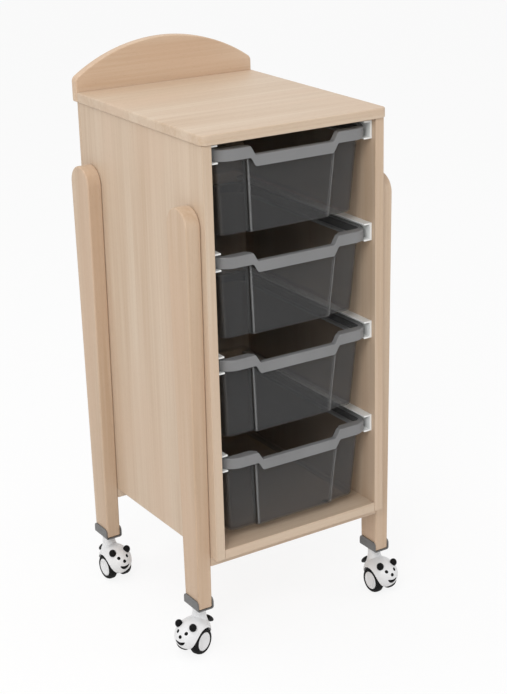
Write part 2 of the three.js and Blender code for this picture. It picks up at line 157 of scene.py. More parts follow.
def between(shade, value, low, high):
    """A soft mask that is 0 below low and 1 above high."""
    settings = {"interpolation_type": "SMOOTHSTEP"}
    return shade.node("ShaderNodeMapRange", settings, {"Value": value, "From Min": low, "From Max": high})


def tint(shade, factor, first, second):
    """Mixes two colours. The Mix node repeats its socket names, so they are given by number."""
    return shade.node("ShaderNodeMix", {"data_type": "RGBA"}, {0: factor, 6: first, 7: second}, 2)


def relief(shade, height, strength, depth):
    """The fine relief of a surface."""
    return shade.node("ShaderNodeBump", {}, {"Height": height, "Strength": strength, "Distance": depth})


def beech(name, grain, place, tone):
    """Beech decor: faint broad bands along the grain, fine streaks, pink patches and short rays."""
    finish, wood = new_finish(name)
    moved = wood.node("ShaderNodeVectorMath", {"operation": "ADD"}, {0: object_point(wood), 1: place})

    def along_grain(across, along, detail):
        stretch = [across, across, across]
        stretch["xyz".index(grain)] = along
        return noise(wood, moved, stretch, detail)

    def toned(*colour):
        return (*[c * t for c, t in zip(colour, tone)], 1)

    bands = along_grain(21, 0.9, 3)
    streaks = along_grain(170, 2.6, 4)
    rays = between(wood, along_grain(850, 120, 1), 0.6, 0.72)
    patches = between(wood, along_grain(9, 3, 2), 0.42, 0.66)
    figure = bands * 0.55 + streaks * 0.45
    dark, plain, pale = toned(0.505, 0.37, 0.256), toned(0.556, 0.428, 0.313), toned(0.6, 0.482, 0.366)
    stops = [(0.36, dark), (0.5, plain), (0.64, pale)]
    base = wood.node("ShaderNodeValToRGB", {"stops": stops}, {"Fac": figure})
    warm = tint(wood, patches * 0.5, base, toned(0.572, 0.42, 0.302))
    colour = tint(wood, rays * 0.16, warm, toned(0.36, 0.24, 0.155))
    bump = relief(wood, streaks * 0.4 - rays, 0.5, 0.08 * mm)
    skin(wood, {"Base Color": colour, "Roughness": 0.42 + streaks * 0.12 + rays * 0.1, "Normal": bump})
    return finish


def put(name, data):
    """Sets an object down in the scene, at the origin and unturned."""
    made = bpy.data.objects.new(name, data)
    scene.collection.objects.link(made)
    return made


def make_piece(name, shape, *finishes):
    """Turns a bmesh into a smooth object with its finishes."""
    bmesh.ops.recalc_face_normals(shape, faces=shape.faces)
    mesh = bpy.data.meshes.new(name)
    shape.to_mesh(mesh)
    shape.free()
    for finish in finishes:
        mesh.materials.append(finish)
    mesh.polygons.foreach_set("use_smooth", [True] * len(mesh.polygons))
    return put(name, mesh)


def ease_edges(piece, width, segments=3):
    """Rounds a piece's sharp edges."""
    ease = piece.modifiers.new("eased_edges", "BEVEL")
    ease.width = width
    ease.segments = segments
    ease.limit_method = "ANGLE"
    ease.angle_limit = ease_angle
    ease.harden_normals = True


def dress(piece, body, slot, *nodes):
    """Lets a piece ride its body, in place of the CAD solids that it stands for."""
    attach(piece, body)
    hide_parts(*nodes)


def rectangle(low_a, low_b, high_a, high_b):
    return [(low_a, low_b), (high_a, low_b), (high_a, high_b), (low_a, high_b)]


def arc(middle_a, middle_b, radius, start, end, steps):
    """Points on an arc, with its angles in degrees."""
    angles = [math.radians(start + (end - start) * i / steps) for i in range(steps + 1)]
    return [(middle_a + radius * math.cos(a), middle_b + radius * math.sin(a)) for a in angles]


def bridge(shape, loops):
    """Skins a run of closed loops, any of which may be one point, and gives the faces of each strip."""
    strips = []
    for first, second in zip(loops, loops[1:]):
        strips.append([])
        for i in range(max(len(first), len(second))):
            quad = [first[(i - 1) % len(first)], first[i % len(first)]]
            quad += [second[i % len(second)], second[(i - 1) % len(second)]]
            strips[-1].append(shape.faces.new(list(dict.fromkeys(quad))))
    return strips


def prism(outline, axis, low, high):
    """A bmesh of an outline carried along an axis."""
    shape = bmesh.new()
    order = {"x": (2, 0, 1), "y": (0, 2, 1), "z": (0, 1, 2)}[axis]
    ends = []
    for reach in (low, high):
        points = [(a, b, reach) for a, b in outline]
        ends.append([shape.verts.new([point[i] for i in order]) for point in points])
        shape.faces.new(ends[-1])
    bridge(shape, ends)
    return shape


def board(name, outline, axis, ease, grain, node, tone=(1, 1, 1)):
    """A board cut to an outline, across the thickness that its CAD solid has."""
    low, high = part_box(node)
    thickness = "xyz".index(axis)
    finish = beech(name + "_finish", grain, tuple(grain_scatter * x for x in low + high), tone)
    piece = make_piece(name, prism(outline, axis, low[thickness], high[thickness]), finish)
    ease_edges(piece, ease)
    dress(piece, "carcass", "beech_board", node)


for hand in ("left", "right"):
    low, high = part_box(f"side_panel_{hand}")
    outline = rectangle(low.y, low.z, high.y, high.z)
    board(f"beech_side_{hand}", outline, "x", board_ease, "z", f"side_panel_{hand}")

low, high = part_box("bottom_panel")
board("beech_floor", rectangle(low.x, low.y, high.x, high.y), "z", board_ease, "x", "bottom_panel")
low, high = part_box("back_panel")
board("beech_back", rectangle(low.x, low.z, high.x, high.z), "y", board_ease, "z", "back_panel")

top_low, top_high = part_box("top_panel")
outline = [(top_high.x, top_high.y), (top_low.x, top_high.y)]
outline += arc(top_low.x + top_corner, top_low.y + top_corner, top_corner, 180, 270, corner_steps)
outline += arc(top_high.x - top_corner, top_low.y + top_corner, top_corner, 270, 360, corner_steps)
board("beech_top", outline, "z", top_ease, "x", "top_panel")

# The arched back board stands on end behind the top: one wide arc between two small round shoulders.
low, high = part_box("back_upstand")
sagitta = high.z - top_high.z - arch_end
arch_radius = (high.x**2 + sagitta**2) / (2 * sagitta)
arch_middle = high.z - arch_radius
shoulder_x = high.x - arch_corner
shoulder_z = arch_middle + math.sqrt((arch_radius - arch_corner) ** 2 - shoulder_x**2)
shoulder_turn = math.degrees(math.atan2(shoulder_z - arch_middle, shoulder_x))
outline = [(low.x, low.z), (high.x, low.z)]
outline += arc(shoulder_x, shoulder_z, arch_corner, 0, shoulder_turn, corner_steps)
outline += arc(0, arch_middle, arch_radius, shoulder_turn, 180 - shoulder_turn, arch_steps)[1:-1]
outline += arc(-shoulder_x, shoulder_z, arch_corner, 180 - shoulder_turn, 180, corner_steps)
board("beech_arch", outline, "y", top_ease, "x", "back_upstand", arch_tone)

# Legs and cross rails: thick beech-decor strips with a half-round head, tapering to the foot, on hidden
# dowels in the sides. Two flat rails under the floor tie the legs together.
leg_tone = (0.955, 0.912, 0.872)
leg_foot = 47 * mm
leg_ease = 3 * mm
leg_head_steps = 36
corners = ("front_left", "front_right", "rear_left", "rear_right")

for corner in corners:
    low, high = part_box(f"leg_{corner}")
    middle = (low.y + high.y) / 2
    radius = (high.y - low.y) / 2
    outline = [(middle - leg_foot / 2, low.z), (middle + leg_foot / 2, low.z)]
    outline += arc(middle, high.z - radius, radius, 0, 180, leg_head_steps)
    board(f"beech_leg_{corner}", outline, "x", leg_ease, "z", f"leg_{corner}", leg_tone)

for end in ("front", "rear"):
    low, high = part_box(f"cross_rail_{end}")
    outline = rectangle(low.x, low.y, high.x, high.y)
    board(f"beech_rail_{end}", outline, "z", board_ease, "x", f"cross_rail_{end}")

# Shoes: steel straps folded round the foot of each leg and painted dark grey, with a fine textured
# coat. The castor's shank comes up through the strap into the leg.
shoe_plate = 2.5 * mm
shoe_bend = 3.2 * mm
shoe_bend_steps = 6
shoe_corner = 8 * mm
shoe_corner_angles = (90, 66, 48, 32, 16, 0)
shoe_ease = 0.3 * mm
strap_shares = (-1, -0.5, 0, 0.5, 1)

shoe_paint, paint = new_finish("shoe_paint")
where = object_point(paint)
orange_peel = noise(paint, where, (900, 900, 900), 2)
cloud = noise(paint, where, (60, 60, 60), 3)
grey = tint(paint, between(paint, cloud, 0.35, 0.65), (0.128, 0.126, 0.124, 1), (0.148, 0.146, 0.144, 1))
bump = relief(paint, orange_peel, 0.6, 0.1 * mm)
skin(paint, {"Base Color": grey, "Roughness": 0.42 + orange_peel * 0.15, "Normal": bump})

for corner in corners:
    low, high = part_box(f"shoe_{corner}")
    middle = (low + high) / 2
    half = (high.x - low.x - shoe_plate) / 2
    width = (high.y - low.y) / 2
    sole = low.z + shoe_plate / 2
    rows = []
    for angle in shoe_corner_angles:
        s, c = math.sin(math.radians(angle)), math.cos(math.radians(angle))
        rows.append((half, high.z - shoe_corner * (1 - s), width - shoe_corner * (1 - c)))
    for x, z in arc(half - shoe_bend, sole + shoe_bend, shoe_bend, 0, -90, shoe_bend_steps):
        rows.append((x, z, width))
    rows += [(-x, z, reach) for x, z, reach in reversed(rows)]
    shape = bmesh.new()
    strap = []
    for x, z, reach in rows:
        row = [(middle.x + x, middle.y + share * reach, z) for share in strap_shares]
        strap.append([shape.verts.new(point) for point in row])
    for first, second in zip(strap, strap[1:]):
        for i in range(len(strap_shares) - 1):
            shape.faces.new([first[i], first[i + 1], second[i + 1], second[i]])
    piece = make_piece(f"steel_shoe_{corner}", shape, shoe_paint)
    wall = piece.modifiers.new("plate", "SOLIDIFY")
    wall.thickness = shoe_plate
    wall.offset = 0
    ease_edges(piece, shoe_ease, segments=2)
    dress(piece, "carcass", "grey_shoe", f"shoe_{corner}")

# Runners: white extruded channels, C-shaped, screwed to the sides one pair to a tray. The tray's rim
# slides between the two flanges.
runner_web = 4 * mm
runner_flange = 3 * mm
runner_ease = 0.6 * mm
tray_numbers = range(1, 5)
sides = {"left": -1, "right": 1}

runner_white, plastic = new_finish("runner_plastic")
where = object_point(plastic)
drawn_lines = noise(plastic, where, (700, 6, 700), 3)
cloud = noise(plastic, where, (25, 8, 25), 2)
white = tint(plastic, between(plastic, cloud, 0.3, 0.7), (0.80, 0.81, 0.795, 1), (0.85, 0.86, 0.845, 1))
bump = relief(plastic, drawn_lines, 0.4, 0.05 * mm)
skin(plastic, {"Base Color": white, "Roughness": 0.3 + drawn_lines * 0.18, "Normal": bump})

for tray in tray_numbers:
    for hand, side in sides.items():
        node = f"runner_{tray}_{hand}"
        low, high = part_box(node)
        rear, tip = (high.x, low.x) if side > 0 else (low.x, high.x)
        web = rear - side * runner_web
        lower, upper = low.z + runner_flange, high.z - runner_flange
        outline = [(rear, low.z), (tip, low.z), (tip, lower), (web, lower)]
        outline += [(web, upper), (tip, upper), (tip, high.z), (rear, high.z)]
        piece = make_piece(f"runner_channel_{tray}_{hand}", prism(outline, "y", low.y, high.y), runner_white)
        ease_edges(piece, runner_ease, segments=2)
        dress(piece, "carcass", "runner_plastic", node)

# Screws: zinc-plated domed heads with a cross recess. They hold the back and the arched board on from
# behind, the runners to the sides through their webs, and the rails to the floor from below.
screw_width = 6.8 * mm
screw_steps = 32
screw_seed = 7
screw_sharp = math.radians(40)
back_foot_margin = 40 * mm
back_head_margin = 30 * mm
board_edge_margin = 9 * mm
runner_margin = 30 * mm
floor_row_half = 90 * mm
arch_row_half = 150 * mm
rail_row_half = 130 * mm
back_side_screws = 6
floor_screws = 3
arch_screws = 4
rail_screws = 4
runner_screws = 3
rearward = (0, 1, 0)
downward = (0, 0, -1)

# The head's profile and its recess are in shares of the head's width.
dome = [(0, 0.21), (0.17, 0.205), (0.33, 0.17), (0.45, 0.1), (0.5, 0.02), (0.5, -0.05), (0, -0.05)]
recess_arm = 0.3
recess_half = 0.07
recess_floor = 0.07
recess_mouth = 0.4

zinc_steel, metal = new_finish("zinc_steel")
turning = noise(metal, object_point(metal), (90, 90, 2200), 2)
grey = tint(metal, turning, (0.50, 0.505, 0.51, 1), (0.62, 0.622, 0.625, 1))
skin(metal, {"Base Color": grey, "Metallic": 1, "Roughness": 0.26 + turning * 0.16})


def turned(shape, profile, steps, closed=False):
    """Adds a turned form to a bmesh: a profile of (radius, height) points spun about Z."""
    rings = []
    for radius, height in profile:
        count = steps if radius > 0 else 1
        spin = [2 * math.pi * i / steps for i in range(count)]
        rings.append([shape.verts.new((radius * math.cos(a), radius * math.sin(a), height)) for a in spin])
    bridge(shape, rings + rings[:1] if closed else rings)
    return [vert for ring in rings for vert in ring]


def carve(piece, other, operation="DIFFERENCE"):
    """Cuts another piece out of a piece, or joins it on."""
    carving = piece.modifiers.new(other.name, "BOOLEAN")
    carving.operation = operation
    carving.object = other
    carving.solver = "EXACT"


def carried_out(piece):
    """A mesh of a piece with its modifiers carried out."""
    bpy.context.view_layer.update()
    return bpy.data.meshes.new_from_object(piece.evaluated_get(bpy.context.evaluated_depsgraph_get()))


places = []


def screw_row(start, end, count, facing):
    """Marks a row of screws from one point to another."""
    start, end = Vector(start), Vector(end)
    places.extend((start.lerp(end, i / (count - 1)), facing) for i in range(count))


side_low, side_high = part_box("side_panel_right")
side_middle = (side_low.x + side_high.x) / 2
low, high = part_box("back_panel")
for x in (-side_middle, side_middle):
    foot, head = low.z + back_foot_margin, high.z - back_head_margin
    screw_row((x, high.y, foot), (x, high.y, head), back_side_screws, rearward)
row_height = low.z + board_edge_margin
start, end = (-floor_row_half, high.y, row_height), (floor_row_half, high.y, row_height)
screw_row(start, end, floor_screws, rearward)
low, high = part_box("back_upstand")
row_height = low.z + board_edge_margin
start, end = (-arch_row_half, high.y, row_height), (arch_row_half, high.y, row_height)
screw_row(start, end, arch_screws, rearward)
for end in ("front", "rear"):
    low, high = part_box(f"cross_rail_{end}")
    middle = (low.y + high.y) / 2
    screw_row((-rail_row_half, middle, low.z), (rail_row_half, middle, low.z), rail_screws, downward)
for hand, side in sides.items():
    for tray in tray_numbers:
        low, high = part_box(f"runner_{tray}_{hand}")
        web = (high.x if side > 0 else low.x) - side * runner_web
        middle = (low.z + high.z) / 2
        first, last = low.y + runner_margin, high.y - runner_margin
        screw_row((web, first, middle), (web, last, middle), runner_screws, (-side, 0, 0))

shape = bmesh.new()
turned(shape, dome, screw_steps)
screw = make_piece("screw_blank", shape)
outline = []
for arm in range(4):
    c, s = round(math.cos(arm * math.pi / 2)), round(math.sin(arm * math.pi / 2))
    for x, y in ((recess_arm, -recess_half), (recess_arm, recess_half), (recess_half, recess_half)):
        outline.append((c * x - s * y, s * x + c * y))
recess = make_piece("recess_cutter", prism(outline, "z", recess_floor, recess_mouth))
carve(screw, recess)

screw_tree = bpy.data.node_groups.new("screw_rows", "GeometryNodeTree")
inputs = {}
for name, kind in (
    ("Places", "NodeSocketGeometry"),
    ("Screw", "NodeSocketObject"),
    ("Head Width", "NodeSocketFloat"),
    ("Seed", "NodeSocketInt"),
    ("Finish", "NodeSocketMaterial"),
):
    inputs[name] = screw_tree.interface.new_socket(name, in_out="INPUT", socket_type=kind).identifier
screw_tree.interface.new_socket("Screws", in_out="OUTPUT", socket_type="NodeSocketGeometry")
entry = screw_tree.nodes.new("NodeGroupInput")
given = {name: Shade(screw_tree, entry.outputs[name]) for name in inputs}

# Each head faces out of its board and is spun at random. The random node's sockets are its float ones.
rows = Shade(screw_tree)
facing = rows.node("GeometryNodeInputNamedAttribute", {"data_type": "FLOAT_VECTOR"}, {"Name": "facing"})
outward = rows.node("FunctionNodeAlignRotationToVector", {"axis": "Z"}, {"Vector": facing})
spin = rows.node("FunctionNodeRandomValue", {"data_type": "FLOAT"}, {2: 0, 3: math.pi, 8: given["Seed"]}, 1)
spun = rows.node("FunctionNodeAxisAngleToRotation", {}, {"Axis": (0, 0, 1), "Angle": spin})
sockets = {"Rotation": outward, "Rotate By": spun}
aimed = rows.node("FunctionNodeRotateRotation", {"rotation_space": "LOCAL"}, sockets)
blank = rows.node("GeometryNodeObjectInfo", {}, {"Object": given["Screw"]}, "Geometry")
sockets = {"Points": given["Places"], "Instance": blank, "Rotation": aimed, "Scale": given["Head Width"]}
driven = rows.node("GeometryNodeInstanceOnPoints", {}, sockets)
solid = rows.node("GeometryNodeRealizeInstances", {}, {"Geometry": driven})
plated = rows.node("GeometryNodeSetMaterial", {}, {"Geometry": solid, "Material": given["Finish"]})
rows.node("NodeGroupOutput", {}, {"Screws": plated})

mesh = bpy.data.meshes.new("screw_places")
mesh.from_pydata([place for place, facing in places], [], [])
facings = [x for place, facing in places for x in facing]
mesh.attributes.new("facing", "FLOAT_VECTOR", "POINT").data.foreach_set("vector", facings)
holder = put("screw_places", mesh)
driver = holder.modifiers.new("screw_rows", "NODES")
driver.node_group = screw_tree
settings = {"Screw": screw, "Head Width": screw_width, "Seed": screw_seed, "Finish": zinc_steel}
for name, value in settings.items():
    driver[inputs[name]] = value
mesh = carried_out(holder)
mesh.set_sharp_from_angle(angle=screw_sharp)
piece = put("zinc_screws", mesh)
for spare in (holder, screw, recess):
    bpy.data.objects.remove(spare)
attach(piece, "carcass")

# Trays: deep thin-walled mouldings in clear smoked plastic. The front has a raised panel, and the
# rim turns over into a satin lip that dips in the middle for the fingers.
tray_wall = 2 * mm
tray_draft = 11 * mm
tray_floor_round = 5 * mm
tray_sharp = math.radians(50)
rim_corner = 34 * mm
wall_corner = 12 * mm
rim_reach = 10.5 * mm
rim_front_reach = 16 * mm
rim_lip = 20 * mm
rim_round = 2.2 * mm
inner_round = 1.2 * mm
panel_half = 92 * mm
panel_proud = 7 * mm
panel_slope = 6 * mm
panel_slope_power = 1.5
panel_round = 3 * mm
panel_gleam = 2.5 * mm
corner_gleam = 0.35
corner_gleam_power = 6
grip_ramp = 13 * mm
grip_dip = 15.5 * mm
ramp_steps = 14
round_steps = 5
edge_steps = 3
smoke_flow = (14, 14, 9)
smoke_ior = 1.5
smoke_tints = ((0.062, 0.062, 0.063, 1), (0.076, 0.076, 0.077, 1))
lip_tints = ((0.2, 0.2, 0.202, 1), (0.24, 0.24, 0.242, 1))


def smoked(name, grain, detail):
    """The start of a smoked finish, with the slow flow of the plastic and its fine grain."""
    finish, smoke = new_finish(name)
    where = object_point(smoke)
    flow = noise(smoke, where, smoke_flow, 2)
    return finish, smoke, flow, noise(smoke, where, (grain, grain, grain), detail)


def clear_skin(smoke, colour, roughness, bump, alpha):
    """Ends a smoked finish. Its walls are clear, so what stands behind them shows through."""
    sockets = {"Base Color": colour, "Roughness": roughness, "Normal": bump}
    skin(smoke, {**sockets, "Alpha": alpha, "IOR": smoke_ior})


# An attribute of the mesh paints light into the walls: a painted highlight along the panel's and the floor's
# rounds and on the front corners, where the moulding gathers light, and painted shade on the panel's slopes,
# where it bends light away.
smoked_wall, smoke, flow, fine = smoked("smoked_wall", 1500, 1)
edge = smoke.node("ShaderNodeAttribute", {"attribute_name": "edge_light"}, {}, "Fac")
light = smoke.sum("MAXIMUM", edge, 0)
dark = smoke.sum("MAXIMUM", 0 - edge, 0)
# Painted highlight turns the smoke pale grey and painted shade turns it near black, and both make the wall
# less clear.
painted_highlit = tint(smoke, light, tint(smoke, flow, *smoke_tints), (0.24, 0.24, 0.24, 1))
grey = tint(smoke, dark, painted_highlit, (0.008, 0.008, 0.008, 1))
bump = relief(smoke, fine, 0.15, 0.03 * mm)
clear_skin(smoke, grey, 0.1 + flow * 0.08, bump, 0.3 + light * 0.3 + dark * 0.55)

smoked_base, smoke, flow, fine = smoked("smoked_base", 1500, 1)
bump = relief(smoke, fine, 0.15, 0.03 * mm)
clear_skin(smoke, tint(smoke, flow, *smoke_tints), 0.12 + flow * 0.08, bump, 0.13 + flow * 0.05)

smoked_lip, smoke, flow, fine = smoked("smoked_lip", 1100, 2)
bump = relief(smoke, fine, 0.5, 0.06 * mm)
clear_skin(smoke, tint(smoke, flow, *lip_tints), 0.34 + fine * 0.12, bump, 0.8 + flow * 0.08)

low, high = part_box("tray_1")
tray_width, tray_depth, tray_height = high - low


def tray_ring(inset, front, half, proud, corner):
    """A tray's plan at one level from the middle of the front, as (x, y, finger dip, painted edge light)."""
    run = []
    for i in range(ramp_steps + 1):
        along = i / ramp_steps
        # Painted highlight on the ramp where it runs into the panel's round.
        light = max(0, 1 - grip_ramp * (1 - along) / panel_gleam)
        run.append((half - panel_round - grip_ramp * (1 - along), 0, 1 - along**2 * (3 - 2 * along), light))
    # Across the panel's round the painted highlight turns to painted shade, and the slope beyond it is in
    # painted shade.
    for i in range(1, round_steps + 1):
        angle = math.pi / 2 * i / round_steps
        back_by = panel_round * (1 - math.cos(angle)) / panel_proud
        run.append((half - panel_round * (1 - math.sin(angle)), back_by, 0, math.cos(2 * angle)))
    for i in range(1, round_steps + 1):
        along = i / round_steps
        slope = 1 - (1 - back_by) * (1 - along) ** panel_slope_power
        run.append((half + panel_slope * along, slope, 0, along - 1))
    points = [(x, front - proud * (1 - back_by), dip, light) for x, back_by, dip, light in run]
    side = tray_width / 2 - inset
    rear = tray_depth - inset
    # A faint painted highlight on each front corner.
    for i, (x, y) in enumerate(arc(side - corner, front + corner, corner, -90, 0, corner_steps)):
        gleam = corner_gleam * math.sin(math.pi * i / corner_steps) ** corner_gleam_power
        points.append((x, y, 0, gleam))
    for x, y in arc(side - corner, rear - corner, corner, 0, 90, corner_steps):
        points.append((x, y, 0, 0))
    return points + [(-x, y, dip, light) for x, y, dip, light in reversed(points)]


def wall_level(z, skin_depth, ease, dip, light=0):
    """A ring of the tapered walls at a height, on a skin that lies a depth inside the outer one, with its
    painted light.
    """
    lean = tray_draft * (1 - (z - skin_depth) / tray_height) + skin_depth + ease
    corner = wall_corner - skin_depth
    ring = tray_ring(rim_reach + lean, rim_front_reach + lean, panel_half - lean, panel_proud, corner)
    return [(x, y, z - dip * share, light + (1 - light) * edge) for x, y, share, edge in ring]


def rim_level(z, inset):
    """A ring of the rim and its lip at a height, which dips for the fingers."""
    ring = tray_ring(inset, inset, panel_half, 0, rim_corner - inset)
    return [(x, y, z - grip_dip * share, 0) for x, y, share, _ in ring]


def quarter(steps):
    """Sine and cosine over a quarter turn."""
    return [(math.sin(math.pi / 2 * i / steps), math.cos(math.pi / 2 * i / steps)) for i in range(steps + 1)]


outside = [wall_level(0, 0, 2 * tray_floor_round, 0)]
# The floor's round gets a painted highlight, strongest halfway round.
for s, c in quarter(round_steps):
    outside.append(wall_level(tray_floor_round * (1 - c), 0, tray_floor_round * (1 - s), 0, s * c))
outside.append(wall_level(tray_height - tray_wall, 0, 0, grip_dip))

lip_edge = tray_wall / 2
lip_foot = tray_height - rim_lip
lip = [rim_level(tray_height - tray_wall, tray_wall)]
lip += [rim_level(lip_foot + lip_edge * (1 - s), lip_edge * (1 + c)) for s, c in quarter(edge_steps)]
lip += [rim_level(lip_foot + lip_edge * (1 - c), lip_edge * (1 - s)) for s, c in quarter(edge_steps)][1:]
lip += [rim_level(tray_height - rim_round * (1 - s), rim_round * (1 - c)) for s, c in quarter(round_steps)]

inside = []
for s, c in quarter(edge_steps):
    height = tray_height - inner_round * (1 - c)
    inside.append(wall_level(height, tray_wall, -inner_round * (1 - s), grip_dip))
inside.append(wall_level(tray_wall + tray_floor_round, tray_wall, 0, 0))
for s, c in quarter(round_steps)[1:]:
    height = tray_wall + tray_floor_round * (1 - s)
    inside.append(wall_level(height, tray_wall, tray_floor_round * (1 - c), 0))
inside.append(wall_level(tray_wall, tray_wall, 2 * tray_floor_round, 0))

levels = outside + lip + inside
lip_strips = range(len(outside), len(outside) + len(lip))
lip_slot, base_slot = 1, 2

for tray in tray_numbers:
    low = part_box(f"tray_{tray}")[0]
    shape = bmesh.new()
    # Each point carries its painted highlight or painted shade for the smoked wall's finish.
    edge_light = shape.verts.layers.float.new("edge_light")
    rings = []
    for level in levels:
        rings.append([])
        for x, y, z, light in level:
            vert = shape.verts.new((x, low.y + y, low.z + z))
            vert[edge_light] = light
            rings[-1].append(vert)
    strips = bridge(shape, rings)
    for face in [face for i in lip_strips for face in strips[i]]:
        face.material_index = lip_slot
    for ring in (rings[0], rings[-1]):
        shape.faces.new(ring).material_index = base_slot
    piece = make_piece(f"smoked_tray_{tray}", shape, smoked_wall, smoked_lip, smoked_base)
    piece.data.set_sharp_from_angle(angle=tray_sharp)
    flat = piece.modifiers.new("flat_walls", "WEIGHTED_NORMAL")
    flat.keep_sharp = True
    dress(piece, f"tray_{tray}", "smoked_tray", f"tray_{tray}")

# Castors: a white moulded head on a swivel pin, with black ears and features set into it, a tapered
# black tyre on a pale hub at each side, and a brake pedal that droops behind.
castor_offset = 19.5 * mm
wheel_radius = 25 * mm
wheel_outer = 24.5 * mm
wheel_inner = 9 * mm
hub_radius = 17.5 * mm
axle_radius = 3 * mm
axle_half = 21.5 * mm
running = 0.3 * mm
well_gap = 1.5 * mm
well_side = 1 * mm
well_run_out = 24 * mm
head_forward = 21.5 * mm
castor_head = 39 * mm
head_squash = 0.757
head_middle = 38.7 * mm
head_bow = 28.3 * mm
head_rings = 44
chin_height = 11 * mm
neck_radius = 12 * mm
neck_top = 80.9 * mm
neck_flare = 7 * mm
flare_low = 57 * mm
flare_high = 74 * mm
flare_steps = 8
pin_radius = 4 * mm
pin_bottom = 40.9 * mm
mould_play = 1.2 * mm
mould_grain = 0.6 * mm
mould_smoothing = 0.5
mould_rounds = 9
turn_steps = 64

castor_white, plastic = new_finish("castor_white")
where = object_point(plastic)
cloud = noise(plastic, where, (70, 70, 70), 2)
fine = noise(plastic, where, (1600, 1600, 1600), 1)
white = tint(plastic, cloud, (0.73, 0.73, 0.735, 1), (0.78, 0.78, 0.785, 1))
bump = relief(plastic, fine, 0.3, 0.04 * mm)
skin(plastic, {"Base Color": white, "Roughness": 0.3 + fine * 0.1, "Normal": bump})

castor_black, plastic = new_finish("castor_black")
fine = noise(plastic, object_point(plastic), (1300, 1300, 1300), 2)
black = tint(plastic, fine, (0.004, 0.004, 0.004, 1), (0.007, 0.007, 0.007, 1))
bump = relief(plastic, fine, 0.4, 0.05 * mm)
sockets = {"Base Color": black, "Roughness": 0.36 + fine * 0.16, "Normal": bump}
skin(plastic, {**sockets, "Specular IOR Level": 0.08})

tyre_rubber, rubber = new_finish("tyre_rubber")
where = object_point(rubber)
fine = noise(rubber, where, (1000, 1000, 1000), 3)
dust = between(rubber, noise(rubber, where, (120, 120, 120), 3), 0.45, 0.75)
black = tint(rubber, dust * 0.5, (0.006, 0.006, 0.006, 1), (0.014, 0.0137, 0.0133, 1))
bump = relief(rubber, fine, 0.6, 0.08 * mm)
sockets = {"Base Color": black, "Roughness": 0.58 + fine * 0.2, "Normal": bump}
skin(rubber, {**sockets, "Specular IOR Level": 0.12})


def across(shape, verts, side, reach):
    """Turns a form that was spun about Z so that it lies along the axle, and moves it to the axle."""
    bmesh.ops.transform(shape, matrix=Matrix.Rotation(-side * math.pi / 2, 4, "X"), verts=verts)
    bmesh.ops.translate(shape, vec=reach, verts=verts)


def drum(shape, radius, low, high, steps):
    """Adds a plain drum about Z to a bmesh."""
    return turned(shape, [(0, low), (radius, low), (radius, high), (0, high)], steps)


def head_reach(z):
    """The head's radius at a height, before it is squashed sideways."""
    return castor_head * math.sqrt(max(0, 1 - ((z - head_middle) / head_bow) ** 2))


axle = Vector((castor_offset, 0, wheel_radius))
chin = -math.asin((head_middle - chin_height) / head_bow)
profile = [(0, chin_height)]
for i in range(head_rings):
    angle = chin + (math.pi / 2 - chin) * i / head_rings
    profile.append((castor_head * math.cos(angle), head_middle + head_bow * math.sin(angle)))
profile.append((0, head_middle + head_bow))
shape = bmesh.new()
turned(shape, profile, 2 * turn_steps)
bmesh.ops.scale(shape, vec=(1, head_squash, 1), verts=shape.verts)
bmesh.ops.translate(shape, vec=(head_forward, 0, 0), verts=shape.verts)
head = make_piece("head_blank", shape)

# The neck flares forward into the head, so its foot is sheared ahead of the pin.
profile = [(0, head_middle), (neck_radius + neck_flare, head_middle)]
for s, c in quarter(flare_steps):
    profile.append((neck_radius + neck_flare * (1 - s), flare_low + (flare_high - flare_low) * (1 - c)))
profile += [(neck_radius, neck_top), (0, neck_top)]
shape = bmesh.new()
turned(shape, profile, turn_steps)
for vert in shape.verts:
    vert.co.x += max(0, math.hypot(vert.co.x, vert.co.y) - neck_radius)
neck = make_piece("neck_blank", shape)

shape = bmesh.new()
well_low, well_high = wheel_inner - well_side, wheel_outer + well_run_out
for side in (-1, 1):
    verts = drum(shape, wheel_radius + well_gap, well_low, well_high, turn_steps)
    across(shape, verts, side, axle)
wells = make_piece("well_cutter", shape)

shape = bmesh.new()
pin_play = pin_radius + mould_play
drum(shape, pin_play, pin_bottom - mould_play, neck_top + pin_play, turn_steps)
pin_bore = make_piece("pin_cutter", shape)

# The pedal's barrel turns in a pocket at the back of the head, behind a slot that clears its travel.
pedal_droop = math.radians(40)
pedal_height = 52 * mm
pedal_inset = 4.4 * mm
pedal_half = 8 * mm
pedal_length = 34 * mm
pedal_thickness = 11 * mm
pedal_root = 1.5 * mm
pedal_barrel = 3 * mm
pedal_rise = 5.3 * mm
pedal_ease = 1 * mm
slot_angles = (-60, 51)
leaf_swell_end = 0.42
leaf_tip_start = 0.5
leaf_steps = 24
leaf_sides = 32
pedal_pivot = Vector((head_forward - head_reach(pedal_height) + pedal_inset, 0, pedal_height))
pedal_along = Vector((-math.cos(pedal_droop), 0, -math.sin(pedal_droop)))
pedal_under = Vector((math.sin(pedal_droop), 0, -math.cos(pedal_droop)))
mouth = [(pedal_pivot.x, pedal_pivot.z)]
for angle in slot_angles:
    reach = math.cos(math.radians(angle)) * pedal_along + math.sin(math.radians(angle)) * pedal_under
    mouth.append((pedal_pivot.x + 2 * pedal_length * reach.x, pedal_pivot.z + 2 * pedal_length * reach.z))
room = pedal_half + mould_play
pedal_slot = make_piece("pedal_cutter", prism(mouth, "y", -room, room))

shape = bmesh.new()
drum(shape, pedal_barrel + mould_play, -room, room, turn_steps)
across(shape, shape.verts, 1, pedal_pivot)
barrel_pocket = make_piece("barrel_cutter", shape)

